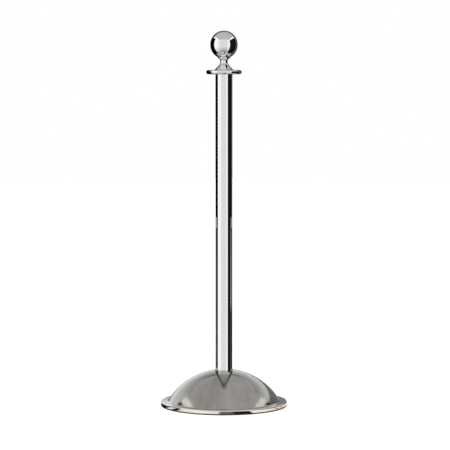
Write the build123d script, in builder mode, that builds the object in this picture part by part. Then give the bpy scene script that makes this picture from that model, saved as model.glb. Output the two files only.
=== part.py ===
from build123d import *
import os
from math import acos, asin, atan2, cos, degrees, hypot, radians, sin, sqrt, tan

# A rope barrier stanchion: a weighted dome base, a polished post, a rope collar with four
# holes and a ball finial that screws down on a stud.
# Frame: +Z runs up the post, and the origin is on the floor at the centre of the base.

# ---------------------------------------------------------------- driving dimensions (mm)
# base
base_radius = 166.0
ledge_height = 12.6
ledge_width = 18.5
dome_rise = 83.3
cover_sheet = 1.2
cove_radius = 3.0
rim_edge_radius = 3.0

# floor ring
ring_thickness = 3.0
ring_setback = 1.5
ring_width = 13.5
ring_rib_width = 4.0
ring_rib_height = 3.5
ring_edge_round = 0.8

# cast weight
raised_margin = 28.0
raised_height = 5.0
boss_foot_radius = 36.0
boss_top_margin = 0.6
rib_count = 6
rib_thickness = 8.0
rib_drop = 22.0
rib_end_margin = 8.0
pocket_radius = 22.0
pocket_depth = 15.0
plate_chamfer = 2.0

# post
tube_radius = 22.25
tube_wall = 1.5
tube_length = 776.8
lower_plug_height = 24.0
upper_plug_height = 22.0
pilot_radius = 12.0
pilot_depth = 9.0

# M12 fasteners
thread_radius = 6.0
thread_pitch = 1.75
hex_across_flats = 18.0
bolt_head_height = 7.5
bolt_length = 100.0
washer_radius = 12.0
washer_thickness = 2.5
split_washer_radius = 10.4
split_washer_thickness = 3.0
split_washer_slot = 2.0
nut_thickness = 6.0

# rope collar
collar_radius = 46.6
collar_thickness = 11.2
spigot_length = 9.0
spigot_bore_radius = 14.5
web_recess = 2.8
rope_hole_count = 4
rope_hole_radius = 6.5
rope_hole_land = 0.5
rope_hole_round = 1.0

# nylon friction washer
friction_washer_radius = 21.0
friction_washer_thickness = 1.0
friction_washer_recess = 0.8

# neck
neck_height = 29.66
neck_waist_radius = 9.5
neck_waist_height = 21.3
neck_curve_radius = 12.0
neck_flare_angle = 43.0
neck_foot_land = 0.5

# ball
ball_radius = 35.7
ball_skirt = 0.82
ball_sheet = 1.2
seat_ring_radius = 15.8
seat_ring_bore = 11.5
seat_ring_recess = 0.65
seat_ring_web = 0.6
seat_ring_round = 0.6
insert_lip = 0.8
insert_lip_height = 0.35
insert_flange_radius = 17.0
insert_flange_thickness = 3.0
insert_height = 26.0
thread_engagement = 20.0

# clearances
weld_gap = 0.02
thread_clearance = 0.05
running_clearance = 0.05
bush_clearance = 0.1
turning_gap = 0.3
captive_gap = 0.15
cover_clearance = 0.4
groove_clearance = 0.1
pilot_clearance = 0.2
bolt_hole_clearance = 0.75
stud_hole_clearance = 0.6
end_clearance = 0.3

# ---------------------------------------------------------------- places that follow
floor_z = 0.0
plate_bottom = floor_z + ring_thickness
plate_top = ledge_height - cover_sheet
plate_radius = base_radius - cover_sheet - cover_clearance

foot_radius = base_radius - ledge_width
dome_radius = (foot_radius**2 + dome_rise**2) / (2 * dome_rise)
dome_centre_z = ledge_height + dome_rise - dome_radius
seat_z = dome_centre_z + sqrt(dome_radius**2 - tube_radius**2)
tube_bore = tube_radius - tube_wall
tube_top = seat_z + tube_length

boss_top = seat_z - cover_sheet
raised_top = plate_top + raised_height
raised_radius = foot_radius - raised_margin
pocket_roof = plate_bottom + pocket_depth

shank_radius = thread_radius - thread_clearance
bolt_head_top = pocket_roof - washer_thickness - split_washer_thickness
bolt_head_bottom = bolt_head_top - bolt_head_height

collar_bottom = tube_top
collar_top = collar_bottom + collar_thickness
bullnose = collar_thickness / 2
rope_hole_circle = collar_radius - bullnose - rope_hole_land - rope_hole_radius
spigot_bottom = collar_bottom - spigot_length
web_bottom = collar_bottom + web_recess
upper_plug_top = spigot_bottom - end_clearance - split_washer_thickness
upper_plug_bottom = upper_plug_top - upper_plug_height
nut_bottom = upper_plug_top + split_washer_thickness

friction_washer_top = collar_top + friction_washer_thickness
neck_foot = friction_washer_top - friction_washer_recess
neck_top = collar_top + neck_height
waist_z = collar_top + neck_waist_height
neck_curve_centre = neck_waist_radius + neck_curve_radius

dish_radius = ball_radius + turning_gap
dish_bore_z = neck_top + seat_ring_recess + seat_ring_web
lower_ball_z = dish_bore_z + sqrt(dish_radius**2 - seat_ring_bore**2)
equator_z = lower_ball_z + ball_skirt
upper_ball_z = equator_z + ball_skirt
ball_bore = ball_radius - ball_sheet
insert_radius = seat_ring_bore - bush_clearance
ball_opening = insert_radius + weld_gap
insert_bottom = neck_top + captive_gap
insert_top = insert_bottom + insert_height
stud_bottom = upper_plug_bottom + thread_pitch
stud_top = neck_top + thread_engagement


def height_on_ball(radius, centre_z, ball):
    """Height of a ball's underside at a distance from its axis."""
    return centre_z - sqrt(ball**2 - radius**2)


def radial_plane(angle):
    """Upright plane through the post's axis, turned to an angle about it."""
    turn = radians(angle)
    return Plane(origin=(0, 0, 0), x_dir=(cos(turn), sin(turn), 0), z_dir=(sin(turn), -cos(turn), 0))


def off_axis(rim):
    """True for a round edge whose centre is away from the post's axis."""
    return hypot(rim.arc_center.X, rim.arc_center.Y) > rope_hole_radius


os.makedirs("parts", exist_ok=True)

# ---------------------------------------------------------------- floor ring
# Rubber ring that stands on the floor, with a rib pressed into the casting's groove.
ring_outer = base_radius - ring_setback
ring_inner = ring_outer - ring_width
ring_rib_inner = (ring_outer + ring_inner - ring_rib_width) / 2
ring_rib_outer = ring_rib_inner + ring_rib_width
with BuildPart() as floor_ring:
    with BuildSketch(Plane.XY.offset(floor_z)):
        Circle(ring_outer)
        Circle(ring_inner, mode=Mode.SUBTRACT)
    extrude(amount=ring_thickness)
    fillet(floor_ring.edges().group_by(Axis.Z)[0], radius=ring_edge_round)
    with BuildSketch(Plane.XY.offset(plate_bottom)):
        Circle(ring_rib_outer)
        Circle(ring_rib_inner, mode=Mode.SUBTRACT)
    extrude(amount=ring_rib_height)
floor_ring.part.label = "floor_ring"
export_step(floor_ring.part, "parts/floor_ring.step")

# ---------------------------------------------------------------- cast weight
# Plate, raised disc and centre boss turned as one outline, then ribs, groove and pocket.
with BuildPart() as base_weight:
    with BuildSketch(Plane.XZ):
        with BuildLine():
            Polyline(
                (0, plate_bottom),
                (plate_radius, plate_bottom),
                (plate_radius, plate_top - plate_chamfer),
                (plate_radius - plate_chamfer, plate_top),
                (raised_radius + raised_height, plate_top),
                (raised_radius, raised_top),
                (boss_foot_radius, raised_top),
                (tube_radius - boss_top_margin, boss_top),
                (0, boss_top),
                close=True,
            )
        make_face()
    revolve(axis=Axis.Z)
    for number in range(rib_count):
        with BuildSketch(radial_plane(number * 360 / rib_count)):
            with BuildLine():
                Polyline(
                    (pilot_radius, plate_top),
                    (raised_radius - rib_end_margin, plate_top),
                    (raised_radius - rib_end_margin, raised_top),
                    (tube_radius - boss_top_margin, boss_top - rib_drop),
                    (pilot_radius, boss_top - rib_drop),
                    close=True,
                )
            make_face()
        extrude(amount=rib_thickness / 2, both=True)
    with BuildSketch(Plane.XY.offset(plate_bottom)):
        Circle(ring_rib_outer + groove_clearance)
        Circle(ring_rib_inner - groove_clearance, mode=Mode.SUBTRACT)
    extrude(amount=ring_rib_height + groove_clearance, mode=Mode.SUBTRACT)
    with BuildSketch(Plane.XY.offset(plate_bottom)):
        Circle(pocket_radius)
    extrude(amount=pocket_depth, mode=Mode.SUBTRACT)
    with BuildSketch(Plane.XY.offset(pocket_roof)):
        Circle(thread_radius + bolt_hole_clearance)
    extrude(amount=boss_top - pocket_roof, mode=Mode.SUBTRACT)
    with BuildSketch(Plane.XY.offset(boss_top)):
        Circle(pilot_radius + pilot_clearance)
    extrude(amount=-(pilot_depth - cover_sheet + end_clearance), mode=Mode.SUBTRACT)
base_weight.part.label = "base_weight"
export_step(base_weight.part, "parts/base_weight.step")

# ---------------------------------------------------------------- base cover
# Spun sheet: seat under the tube, dome, cove, ledge, rounded edge and turned-down rim.
# The inner outline repeats the outer one about the same centres, one sheet further in.
cove_centre_z = ledge_height + cove_radius
cove_centre_x = sqrt((dome_radius + cove_radius) ** 2 - (cove_centre_z - dome_centre_z) ** 2)
cove_angle = degrees(atan2(cove_centre_z - dome_centre_z, cove_centre_x))
seat_angle = degrees(acos(tube_radius / dome_radius))
inner_dome = dome_radius - cover_sheet
inner_seat_angle = degrees(asin((boss_top - dome_centre_z) / inner_dome))
edge_x = base_radius - rim_edge_radius
edge_z = ledge_height - rim_edge_radius
cover_hole = pilot_radius + pilot_clearance
with BuildPart() as base_cover:
    with BuildSketch(Plane.XZ):
        with BuildLine():
            dome = CenterArc((0, dome_centre_z), dome_radius, cove_angle, seat_angle - cove_angle)
            Line((cover_hole, seat_z), dome @ 1)
            cove = CenterArc((cove_centre_x, cove_centre_z), cove_radius, 180 + cove_angle, 90 - cove_angle)
            edge = CenterArc((edge_x, edge_z), rim_edge_radius, 0, 90)
            Line(cove @ 1, edge @ 1)
            inner_arc = CenterArc(
                (0, dome_centre_z), inner_dome, cove_angle, inner_seat_angle - cove_angle
            )
            inner_cove = CenterArc(
                (cove_centre_x, cove_centre_z), cove_radius + cover_sheet, 180 + cove_angle, 90 - cove_angle
            )
            inner_edge = CenterArc((edge_x, edge_z), rim_edge_radius - cover_sheet, 0, 90)
            Line(inner_cove @ 1, inner_edge @ 1)
            Polyline(
                edge @ 0,
                (base_radius, plate_bottom),
                (base_radius - cover_sheet, plate_bottom),
                inner_edge @ 0,
            )
            Polyline((cover_hole, seat_z), (cover_hole, boss_top), inner_arc @ 1)
        make_face()
    revolve(axis=Axis.Z)
base_cover.part.label = "base_cover"
export_step(base_cover.part, "parts/base_cover.step")

# ---------------------------------------------------------------- base bolt and its washers
with BuildPart() as base_bolt:
    with BuildSketch(Plane.XY.offset(bolt_head_bottom)):
        RegularPolygon(radius=hex_across_flats / 2, side_count=6, major_radius=False)
    extrude(amount=bolt_head_height)
    with BuildSketch(Plane.XY.offset(bolt_head_top)):
        Circle(shank_radius)
    extrude(amount=bolt_length)
    chamfer(base_bolt.faces().sort_by(Axis.Z)[-1].edges(), length=thread_pitch / 2)
base_bolt.part.label = "base_bolt"
export_step(base_bolt.part, "parts/base_bolt.step")


def split_washer(bottom):
    """Lock washer round an M12 thread: a ring with a slot through one side."""
    with BuildPart() as washer:
        with BuildSketch(Plane.XY.offset(bottom)):
            Circle(split_washer_radius)
            Circle(thread_radius + pilot_clearance, mode=Mode.SUBTRACT)
            with Locations((split_washer_radius, 0)):
                Rectangle(2 * split_washer_radius, split_washer_slot, mode=Mode.SUBTRACT)
        extrude(amount=split_washer_thickness)
    return washer


spring_washer = split_washer(bolt_head_top)
spring_washer.part.label = "spring_washer"
export_step(spring_washer.part, "parts/spring_washer.step")

with BuildPart() as flat_washer:
    with BuildSketch(Plane.XY.offset(pocket_roof - washer_thickness)):
        Circle(washer_radius)
        Circle(thread_radius + stud_hole_clearance, mode=Mode.SUBTRACT)
    extrude(amount=washer_thickness)
flat_washer.part.label = "flat_washer"
export_step(flat_washer.part, "parts/flat_washer.step")

# ---------------------------------------------------------------- plugs in the tube
with BuildPart() as lower_plug:
    with BuildSketch(Plane.XY.offset(seat_z)):
        Circle(tube_bore - weld_gap)
    extrude(amount=lower_plug_height)
    with BuildSketch(Plane.XY.offset(seat_z - pilot_depth)):
        Circle(pilot_radius)
    extrude(amount=pilot_depth)
    with BuildSketch(Plane.XY.offset(seat_z - pilot_depth)):
        Circle(thread_radius)
    extrude(amount=pilot_depth + lower_plug_height, mode=Mode.SUBTRACT)
lower_plug.part.label = "lower_plug"
export_step(lower_plug.part, "parts/lower_plug.step")

with BuildPart() as upper_plug:
    with BuildSketch(Plane.XY.offset(upper_plug_bottom)):
        Circle(tube_bore - weld_gap)
        Circle(thread_radius, mode=Mode.SUBTRACT)
    extrude(amount=upper_plug_height)
upper_plug.part.label = "upper_plug"
export_step(upper_plug.part, "parts/upper_plug.step")

# ---------------------------------------------------------------- post tube
with BuildPart() as post_tube:
    with BuildSketch(Plane.XY.offset(seat_z)):
        Circle(tube_radius)
        Circle(tube_bore, mode=Mode.SUBTRACT)
    extrude(amount=tube_length)
post_tube.part.label = "post_tube"
export_step(post_tube.part, "parts/post_tube.step")

# ---------------------------------------------------------------- stud, its nut and washer
with BuildPart() as finial_stud:
    with BuildSketch(Plane.XY.offset(stud_bottom)):
        Circle(shank_radius)
    extrude(amount=stud_top - stud_bottom)
    chamfer(finial_stud.edges().filter_by(GeomType.CIRCLE), length=thread_pitch / 2)
finial_stud.part.label = "finial_stud"
export_step(finial_stud.part, "parts/finial_stud.step")

stud_washer = split_washer(upper_plug_top)
stud_washer.part.label = "stud_washer"
export_step(stud_washer.part, "parts/stud_washer.step")

with BuildPart() as stud_nut:
    with BuildSketch(Plane.XY.offset(nut_bottom)):
        RegularPolygon(radius=hex_across_flats / 2, side_count=6, major_radius=False)
        Circle(thread_radius, mode=Mode.SUBTRACT)
    extrude(amount=nut_thickness)
stud_nut.part.label = "stud_nut"
export_step(stud_nut.part, "parts/stud_nut.step")

# ---------------------------------------------------------------- rope collar
# Disc with a fully rounded edge, a spigot that turns in the tube, and holes for rope hooks.
with BuildPart() as rope_collar:
    with BuildSketch(Plane.XZ):
        with BuildLine():
            nose = CenterArc((collar_radius - bullnose, collar_bottom + bullnose), bullnose, -90, 180)
            Polyline(
                nose @ 1,
                (thread_radius + stud_hole_clearance, collar_top),
                (thread_radius + stud_hole_clearance, web_bottom),
                (spigot_bore_radius, web_bottom),
                (spigot_bore_radius, spigot_bottom),
                (tube_bore - running_clearance, spigot_bottom),
                (tube_bore - running_clearance, collar_bottom),
                nose @ 0,
            )
        make_face()
    revolve(axis=Axis.Z)
    with BuildSketch(Plane.XY.offset(collar_bottom)):
        with PolarLocations(rope_hole_circle, rope_hole_count):
            Circle(rope_hole_radius)
    extrude(amount=collar_thickness, mode=Mode.SUBTRACT)
    fillet(
        rope_collar.edges().filter_by(GeomType.CIRCLE).filter_by(off_axis),
        radius=rope_hole_round,
    )
rope_collar.part.label = "rope_collar"
export_step(rope_collar.part, "parts/rope_collar.step")

# ---------------------------------------------------------------- friction washer
# Nylon washer in the neck's foot: the collar turns against it when the ball is slackened.
with BuildPart() as collar_washer:
    with BuildSketch(Plane.XY.offset(collar_top)):
        Circle(friction_washer_radius)
        Circle(thread_radius + stud_hole_clearance, mode=Mode.SUBTRACT)
    extrude(amount=friction_washer_thickness)
collar_washer.part.label = "collar_washer"
export_step(collar_washer.part, "parts/collar_washer.step")

# ---------------------------------------------------------------- neck
# Turned trumpet: a cone that rises from the foot, then an arc through the waist to the lip.
flare = radians(neck_flare_angle)
cone_top_z = waist_z - neck_curve_radius * sin(flare)
cone_top_radius = neck_curve_centre - neck_curve_radius * cos(flare)
cone_foot_z = neck_foot + neck_foot_land
cone_foot_radius = cone_top_radius + (cone_top_z - cone_foot_z) * tan(flare)
lip_angle = degrees(asin((neck_top - waist_z) / neck_curve_radius))
with BuildPart() as finial_neck:
    with BuildSketch(Plane.XZ):
        with BuildLine():
            throat = CenterArc(
                (neck_curve_centre, waist_z),
                neck_curve_radius,
                180 - lip_angle,
                lip_angle + neck_flare_angle,
            )
            Polyline(
                throat @ 1,
                (cone_foot_radius, cone_foot_z),
                (cone_foot_radius, neck_foot),
                (friction_washer_radius + turning_gap, neck_foot),
                (friction_washer_radius + turning_gap, friction_washer_top),
                (thread_radius + stud_hole_clearance, friction_washer_top),
                (thread_radius + stud_hole_clearance, neck_top),
                throat @ 0,
            )
        make_face()
    revolve(axis=Axis.Z)
finial_neck.part.label = "finial_neck"
export_step(finial_neck.part, "parts/finial_neck.step")

# ---------------------------------------------------------------- ball seat ring
# Dished ring under the ball. The bush's lip holds it captive, so it lifts with the ball.
recess_radius = insert_radius + insert_lip + turning_gap
dish_bore_angle = -degrees(acos(seat_ring_bore / dish_radius))
dish_edge_angle = -degrees(acos(seat_ring_radius / dish_radius))
with BuildPart() as ball_seat_ring:
    with BuildSketch(Plane.XZ):
        with BuildLine():
            dish = CenterArc(
                (0, lower_ball_z), dish_radius, dish_bore_angle, dish_edge_angle - dish_bore_angle
            )
            Polyline(
                dish @ 1,
                (seat_ring_radius, neck_top),
                (recess_radius, neck_top),
                (recess_radius, neck_top + seat_ring_recess),
                (seat_ring_bore, neck_top + seat_ring_recess),
                dish @ 0,
            )
        make_face()
    revolve(axis=Axis.Z)
    outer_edges = ball_seat_ring.edges().filter_by(GeomType.CIRCLE).sort_by(SortBy.RADIUS)[-2:]
    fillet(outer_edges, radius=seat_ring_round)
ball_seat_ring.part.label = "ball_seat_ring"
export_step(ball_seat_ring.part, "parts/ball_seat_ring.step")

# ---------------------------------------------------------------- ball shells
# Two spun halves, each a hemisphere with a short straight skirt, joined at the equator.
opening_angle = -degrees(acos(ball_opening / ball_radius))
inner_opening_angle = -degrees(acos(ball_opening / ball_bore))
with BuildPart() as ball_lower_shell:
    with BuildSketch(Plane.XZ):
        with BuildLine():
            outside = CenterArc((0, lower_ball_z), ball_radius, opening_angle, -opening_angle)
            inside = CenterArc((0, lower_ball_z), ball_bore, inner_opening_angle, -inner_opening_angle)
            Polyline(outside @ 1, (ball_radius, equator_z), (ball_bore, equator_z), inside @ 1)
            Line(outside @ 0, inside @ 0)
        make_face()
    revolve(axis=Axis.Z)
ball_lower_shell.part.label = "ball_lower_shell"
export_step(ball_lower_shell.part, "parts/ball_lower_shell.step")

with BuildPart() as ball_upper_shell:
    with BuildSketch(Plane.XZ):
        with BuildLine():
            outside = CenterArc((0, upper_ball_z), ball_radius, 0, 90)
            inside = CenterArc((0, upper_ball_z), ball_bore, 0, 90)
            Polyline(outside @ 0, (ball_radius, equator_z), (ball_bore, equator_z), inside @ 0)
            Line(outside @ 1, inside @ 1)
        make_face()
    revolve(axis=Axis.Z)
ball_upper_shell.part.label = "ball_upper_shell"
export_step(ball_upper_shell.part, "parts/ball_upper_shell.step")

# ---------------------------------------------------------------- ball insert
# Threaded bush brazed in the lower half: a flange inside the shell and a lip under the ring.
flange_bed = ball_bore - weld_gap
bed_inner_angle = -degrees(acos(insert_radius / flange_bed))
bed_outer_angle = -degrees(acos(insert_flange_radius / flange_bed))
flange_top = height_on_ball(insert_flange_radius, lower_ball_z, flange_bed) + insert_flange_thickness
lip_top = insert_bottom + insert_lip_height
with BuildPart() as ball_insert:
    with BuildSketch(Plane.XZ):
        with BuildLine():
            bed = CenterArc(
                (0, lower_ball_z), flange_bed, bed_inner_angle, bed_outer_angle - bed_inner_angle
            )
            Polyline(
                bed @ 0,
                (insert_radius, lip_top),
                (insert_radius + insert_lip, lip_top),
                (insert_radius + insert_lip, insert_bottom),
                (thread_radius, insert_bottom),
                (thread_radius, stud_top + thread_pitch),
                (0, stud_top + thread_pitch),
                (0, insert_top),
                (insert_radius, insert_top),
                (insert_radius, flange_top),
                (insert_flange_radius, flange_top),
                bed @ 1,
            )
        make_face()
    revolve(axis=Axis.Z)
ball_insert.part.label = "ball_insert"
export_step(ball_insert.part, "parts/ball_insert.step")

print("overall height", round(upper_ball_z + ball_radius, 2))
print("dome radius", round(dome_radius, 2), "seat height", round(seat_z, 2))
print("rope hole circle diameter", round(2 * rope_hole_circle, 2))
print("ball rise", round(stud_top - insert_bottom, 2), "mm of thread in the ball")
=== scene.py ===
import math

import bmesh
import bpy
from bpy.props import FloatProperty, FloatVectorProperty, IntProperty, PointerProperty
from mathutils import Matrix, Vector


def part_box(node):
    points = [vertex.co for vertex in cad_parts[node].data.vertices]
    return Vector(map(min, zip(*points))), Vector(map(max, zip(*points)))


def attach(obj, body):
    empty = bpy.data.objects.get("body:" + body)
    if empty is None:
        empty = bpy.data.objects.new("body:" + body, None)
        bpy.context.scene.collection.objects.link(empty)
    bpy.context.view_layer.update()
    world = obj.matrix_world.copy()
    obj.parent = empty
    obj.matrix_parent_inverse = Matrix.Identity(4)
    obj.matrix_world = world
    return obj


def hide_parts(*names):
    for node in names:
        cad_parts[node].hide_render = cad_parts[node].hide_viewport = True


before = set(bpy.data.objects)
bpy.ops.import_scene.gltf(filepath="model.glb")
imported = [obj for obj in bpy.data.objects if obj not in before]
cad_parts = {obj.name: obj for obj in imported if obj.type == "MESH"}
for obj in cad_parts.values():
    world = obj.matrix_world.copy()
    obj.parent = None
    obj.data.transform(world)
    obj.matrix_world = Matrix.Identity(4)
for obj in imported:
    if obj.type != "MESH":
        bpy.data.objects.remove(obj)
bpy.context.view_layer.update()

bl_info = {
    "name": "Rope Barrier Stanchion",
    "version": (1, 0, 0),
    "blender": (4, 5, 0),
    "location": "3D View > Sidebar > Stanchion",
    "description": "Builds the metalwork of a rope barrier stanchion round its fixed frame",
    "category": "Add Mesh",
}

ON_AXIS = 1e-7  # a point nearer to the axis than this lies on it
SAME_POINT = 1e-8  # points of an outline nearer than this are one point
WELD = 1e-7  # vertices nearer than this are joined
THREAD_PLAY = 0.00005  # how much smaller a thread's radius is than its hole
BUSH_PLAY = 0.0001  # gap between the bush and the seat ring's bore
PAINTED_EDGE_SHADE = (0.12, 0.12, 0.12, 1.0)  # painted shade: darkens polished metal's reflection where it is seen edge-on, for the dark outline its surroundings would mirror
FULL_TURN = 360.0


# ---------------------------------------------------------------- settings
def length(name, description, default):
    """A size in metres that the panel shows as a distance."""
    return FloatProperty(
        name=name, description=description, default=default, min=0.0, precision=5,
        subtype="DISTANCE", unit="LENGTH",
    )


def tint(name, description, default):
    """A linear colour that the panel shows as a swatch."""
    return FloatVectorProperty(
        name=name, description=description, default=default, min=0.0, max=1.0, size=3,
        subtype="COLOR",
    )


def share(name, description, default):
    """A number from 0 to 1 that the panel shows as a slider."""
    return FloatProperty(
        name=name, description=description, default=default, min=0.0, max=1.0,
        subtype="FACTOR",
    )


def slope(name, description, degrees):
    """An angle that the panel shows in degrees."""
    return FloatProperty(
        name=name, description=description, default=math.radians(degrees),
        subtype="ANGLE", unit="ROTATION",
    )


def brightness(name, description, default):
    """The strength of a light, which may pass 1."""
    return FloatProperty(
        name=name, description=description, default=default, min=0.0, soft_max=4.0,
        subtype="FACTOR",
    )


class BaseSizes(bpy.types.PropertyGroup):
    """Sizes of the base cover and the rubber ring under it."""

    sheet: length("Sheet", "Thickness of the spun cover", 0.0012)
    ledge_height: length("Ledge height", "Height of the flat ledge above the floor", 0.0126)
    ledge_width: length("Ledge width", "Width of the flat ledge round the dome", 0.0185)
    cove: length("Cove", "Radius where the dome meets the ledge", 0.003)
    rim_round: length("Rim round", "Radius of the ledge's outer edge", 0.003)
    ring_round: length("Ring round", "Radius of the rubber ring's lower edges", 0.0008)
    ring_rib_width: length("Rib width", "Width of the rib that grips the casting", 0.004)
    ring_thickness: length("Ring thickness", "Rubber between the floor and the casting", 0.003)
    ring_groove: length("Ring groove", "Depth of the groove under the rib", 0.0008)


class PostSizes(bpy.types.PropertyGroup):
    """Sizes of the tube, the rope collar and the friction washer."""

    wall: length("Wall", "Wall thickness of the tube", 0.0015)
    tube_edge: length("Tube edge", "Small round on the tube's cut ends", 0.0003)
    web_recess: length("Web recess", "Depth of the hollow under the collar", 0.0028)
    spigot_bore: length("Spigot bore", "Radius of the hollow under the collar", 0.0145)
    stud_hole: length("Stud hole", "Radius of the clearance hole for the stud", 0.0066)
    rope_hole: length("Rope hole", "Radius of a rope hook hole", 0.0065)
    rope_hole_round: length("Hole round", "Radius of a rope hole's edges", 0.001)
    rope_hole_land: length("Hole land", "Flat between a rope hole and the rounded edge", 0.0005)
    rope_holes: IntProperty(
        name="Rope holes", description="Number of rope hook holes", default=4, min=1, max=12,
        subtype="UNSIGNED",
    )


class FinialSizes(bpy.types.PropertyGroup):
    """Sizes of the neck, the seat ring, the ball and its threaded bush."""

    waist: length("Waist", "Radius of the neck at its waist", 0.0095)
    waist_height: length("Waist height", "Waist above the collar's top face", 0.0213)
    throat: length("Throat", "Radius of the curve through the waist", 0.012)
    flare: slope("Flare", "Angle of the cone from upright", 43.0)
    foot_land: length("Foot land", "Upright edge at the neck's foot", 0.0005)
    lip_edge: length("Lip edge", "Small round on the neck's lip and foot", 0.00025)
    washer_pocket: length("Washer pocket", "Radius of the hollow over the washer", 0.0213)
    ball_sheet: length("Ball sheet", "Thickness of the spun ball", 0.0012)
    ball_skirt: length("Ball skirt", "Straight part of each half ball", 0.00082)
    seam: length("Seam", "Edge break on each side of the ball's seam", 0.00005)
    seat_bore: length("Seat bore", "Radius of the hole through the seat ring", 0.0115)
    seat_recess: length("Seat recess", "Depth of the hollow under the seat ring", 0.00065)
    seat_round: length("Seat round", "Radius of the seat ring's outer edges", 0.0006)
    turning_gap: length("Turning gap", "Gap between the ball and its seat ring", 0.0003)
    bush_lip: length("Bush lip", "Width of the lip that holds the ring captive", 0.0008)
    bush_lip_height: length("Bush lip height", "Height of that lip", 0.00035)
    bush_flange: length("Bush flange", "Thickness of the flange in the ball", 0.003)
    bush_edge: length("Bush edge", "Small chamfer on the bush", 0.0003)


class FastenerSizes(bpy.types.PropertyGroup):
    """Sizes of the bolt, the stud, the nut, the washers and the plugs."""

    pitch: length("Pitch", "Thread pitch", 0.00175)
    thread_depth: length("Thread depth", "Height of the thread's ridge", 0.0010)
    thread_length: length("Thread length", "Threaded part of the bolt", 0.045)
    corner_chamfer: length("Corner chamfer", "Height lost at the corners of a hexagon", 0.0009)
    washer_hole: length("Washer hole", "Radius of the hole in a flat washer", 0.0066)
    split_hole: length("Split hole", "Radius of the hole in a split washer", 0.0062)
    split_gap: length("Split gap", "Width of a split washer's slot", 0.002)
    split_rise: length("Split rise", "Step between a split washer's ends", 0.0004)
    plug_chamfer: length("Plug chamfer", "Chamfer on a plug's edges", 0.0006)
    pilot_depth: length("Pilot depth", "Length of the pilot under the lower plug", 0.009)
    pilot_radius: length("Pilot radius", "Radius of the pilot under the lower plug", 0.012)
    tapped: length("Tapped hole", "Radius of a threaded hole", 0.006)


class Finishes(bpy.types.PropertyGroup):
    """Colours and roughness of the finishes."""

    chrome: tint("Chrome", "Polished metal", (0.84, 0.845, 0.85))
    chrome_rough: share("Chrome roughness", "Roughness of the polished metal", 0.02)
    satin: tint("Satin steel", "Spun base cover", (0.49, 0.468, 0.44))
    satin_rough: share("Satin roughness", "Roughness of the dome", 0.12)
    rim: tint("Rim", "Polished edge of the cover", (0.86, 0.82, 0.78))
    rim_rough: share("Rim roughness", "Roughness of the polished edge", 0.045)
    iron: tint("Cast iron", "Weight in the base", (0.085, 0.085, 0.09))
    rust: tint("Rust", "Rust in the casting's skin", (0.16, 0.075, 0.04))
    rubber: tint("Rubber", "Ring under the base", (0.022, 0.022, 0.023))
    zinc: tint("Zinc plate", "Bolts, nuts, washers and plugs", (0.60, 0.61, 0.62))
    zinc_warm: tint("Warm zinc", "Yellow cast of the plating", (0.62, 0.57, 0.44))
    nylon: tint("Nylon", "Friction washer", (0.86, 0.85, 0.80))


class Studio(bpy.types.PropertyGroup):
    """Camera, floor and light."""

    distance: length("Camera distance", "Camera to the post", 5.0)
    height: length("Camera height", "Camera above the floor", 0.815)
    aside: length("Camera aside", "Camera to the right of the post", 0.0027)
    lens: FloatProperty(
        name="Lens", description="Focal length", default=152.7, min=10.0,
        subtype="DISTANCE_CAMERA", unit="CAMERA",
    )
    tilt: slope("Tilt", "How far the camera looks down", 3.87)
    floor_radius: length("Floor radius", "Radius of the floor", 14.0)
    floor: tint("Floor", "Colour of the floor", (0.90, 0.90, 0.895))
    front_wall: brightness("Front wall", "Light from the pale wall", 0.84)
    ceiling: brightness("Ceiling", "Light from the ceiling", 0.56)
    back_wall: brightness("Back wall", "Light from behind", 0.19)
    back_glow: brightness("Back glow", "Light from the card behind the base", 1.15)
    back_card_radius: length("Back card", "Distance of the card behind the base", 0.45)
    back_card_top: length("Back card top", "Height of the card behind the base", 0.47)
    card: brightness("Card", "Light from the dark cards", 0.004)
    flag_radius: length("Flags", "Distance of the dark strips from the tube's axis", 0.0245)
    flag: brightness("Flag", "Light from the dark strips", 0.02)
    card_warm: tint("Warm cards", "Cards on the floor round the base", (0.90, 0.835, 0.78))
    strip: brightness("Strip", "Light from the bright strips", 1.15)
    overhead: brightness("Overhead", "Strength of the soft overhead light", 3.0)
    overhead_spread: slope("Overhead spread", "Width of the overhead light", 85.0)


GROUPS = (
    ("stanchion_base", BaseSizes),
    ("stanchion_post", PostSizes),
    ("stanchion_finial", FinialSizes),
    ("stanchion_fasteners", FastenerSizes),
    ("stanchion_finishes", Finishes),
    ("stanchion_studio", Studio),
)


# ---------------------------------------------------------------- outlines to turn
def arc(centre, radius, start, end, steps=12):
    """Points on an arc, as (distance from the axis, height), between two angles in degrees."""
    points = []
    for i in range(steps + 1):
        a = math.radians(start + (end - start) * i / steps)
        points.append((centre[0] + radius * math.cos(a), centre[1] + radius * math.sin(a)))
    return points


def straight(start, end, guard=0.0002, pieces=1):
    """Points on a straight run, with one close to each end so that it shades flat."""
    (r0, z0), (r1, z1) = start, end
    run = math.hypot(r1 - r0, z1 - z0)
    shares = [i / pieces for i in range(pieces + 1)]
    if run > 4 * guard:
        shares += [guard / run, 1 - guard / run]
    return [(r0 + (r1 - r0) * t, z0 + (z1 - z0) * t) for t in sorted(set(shares))]


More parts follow.
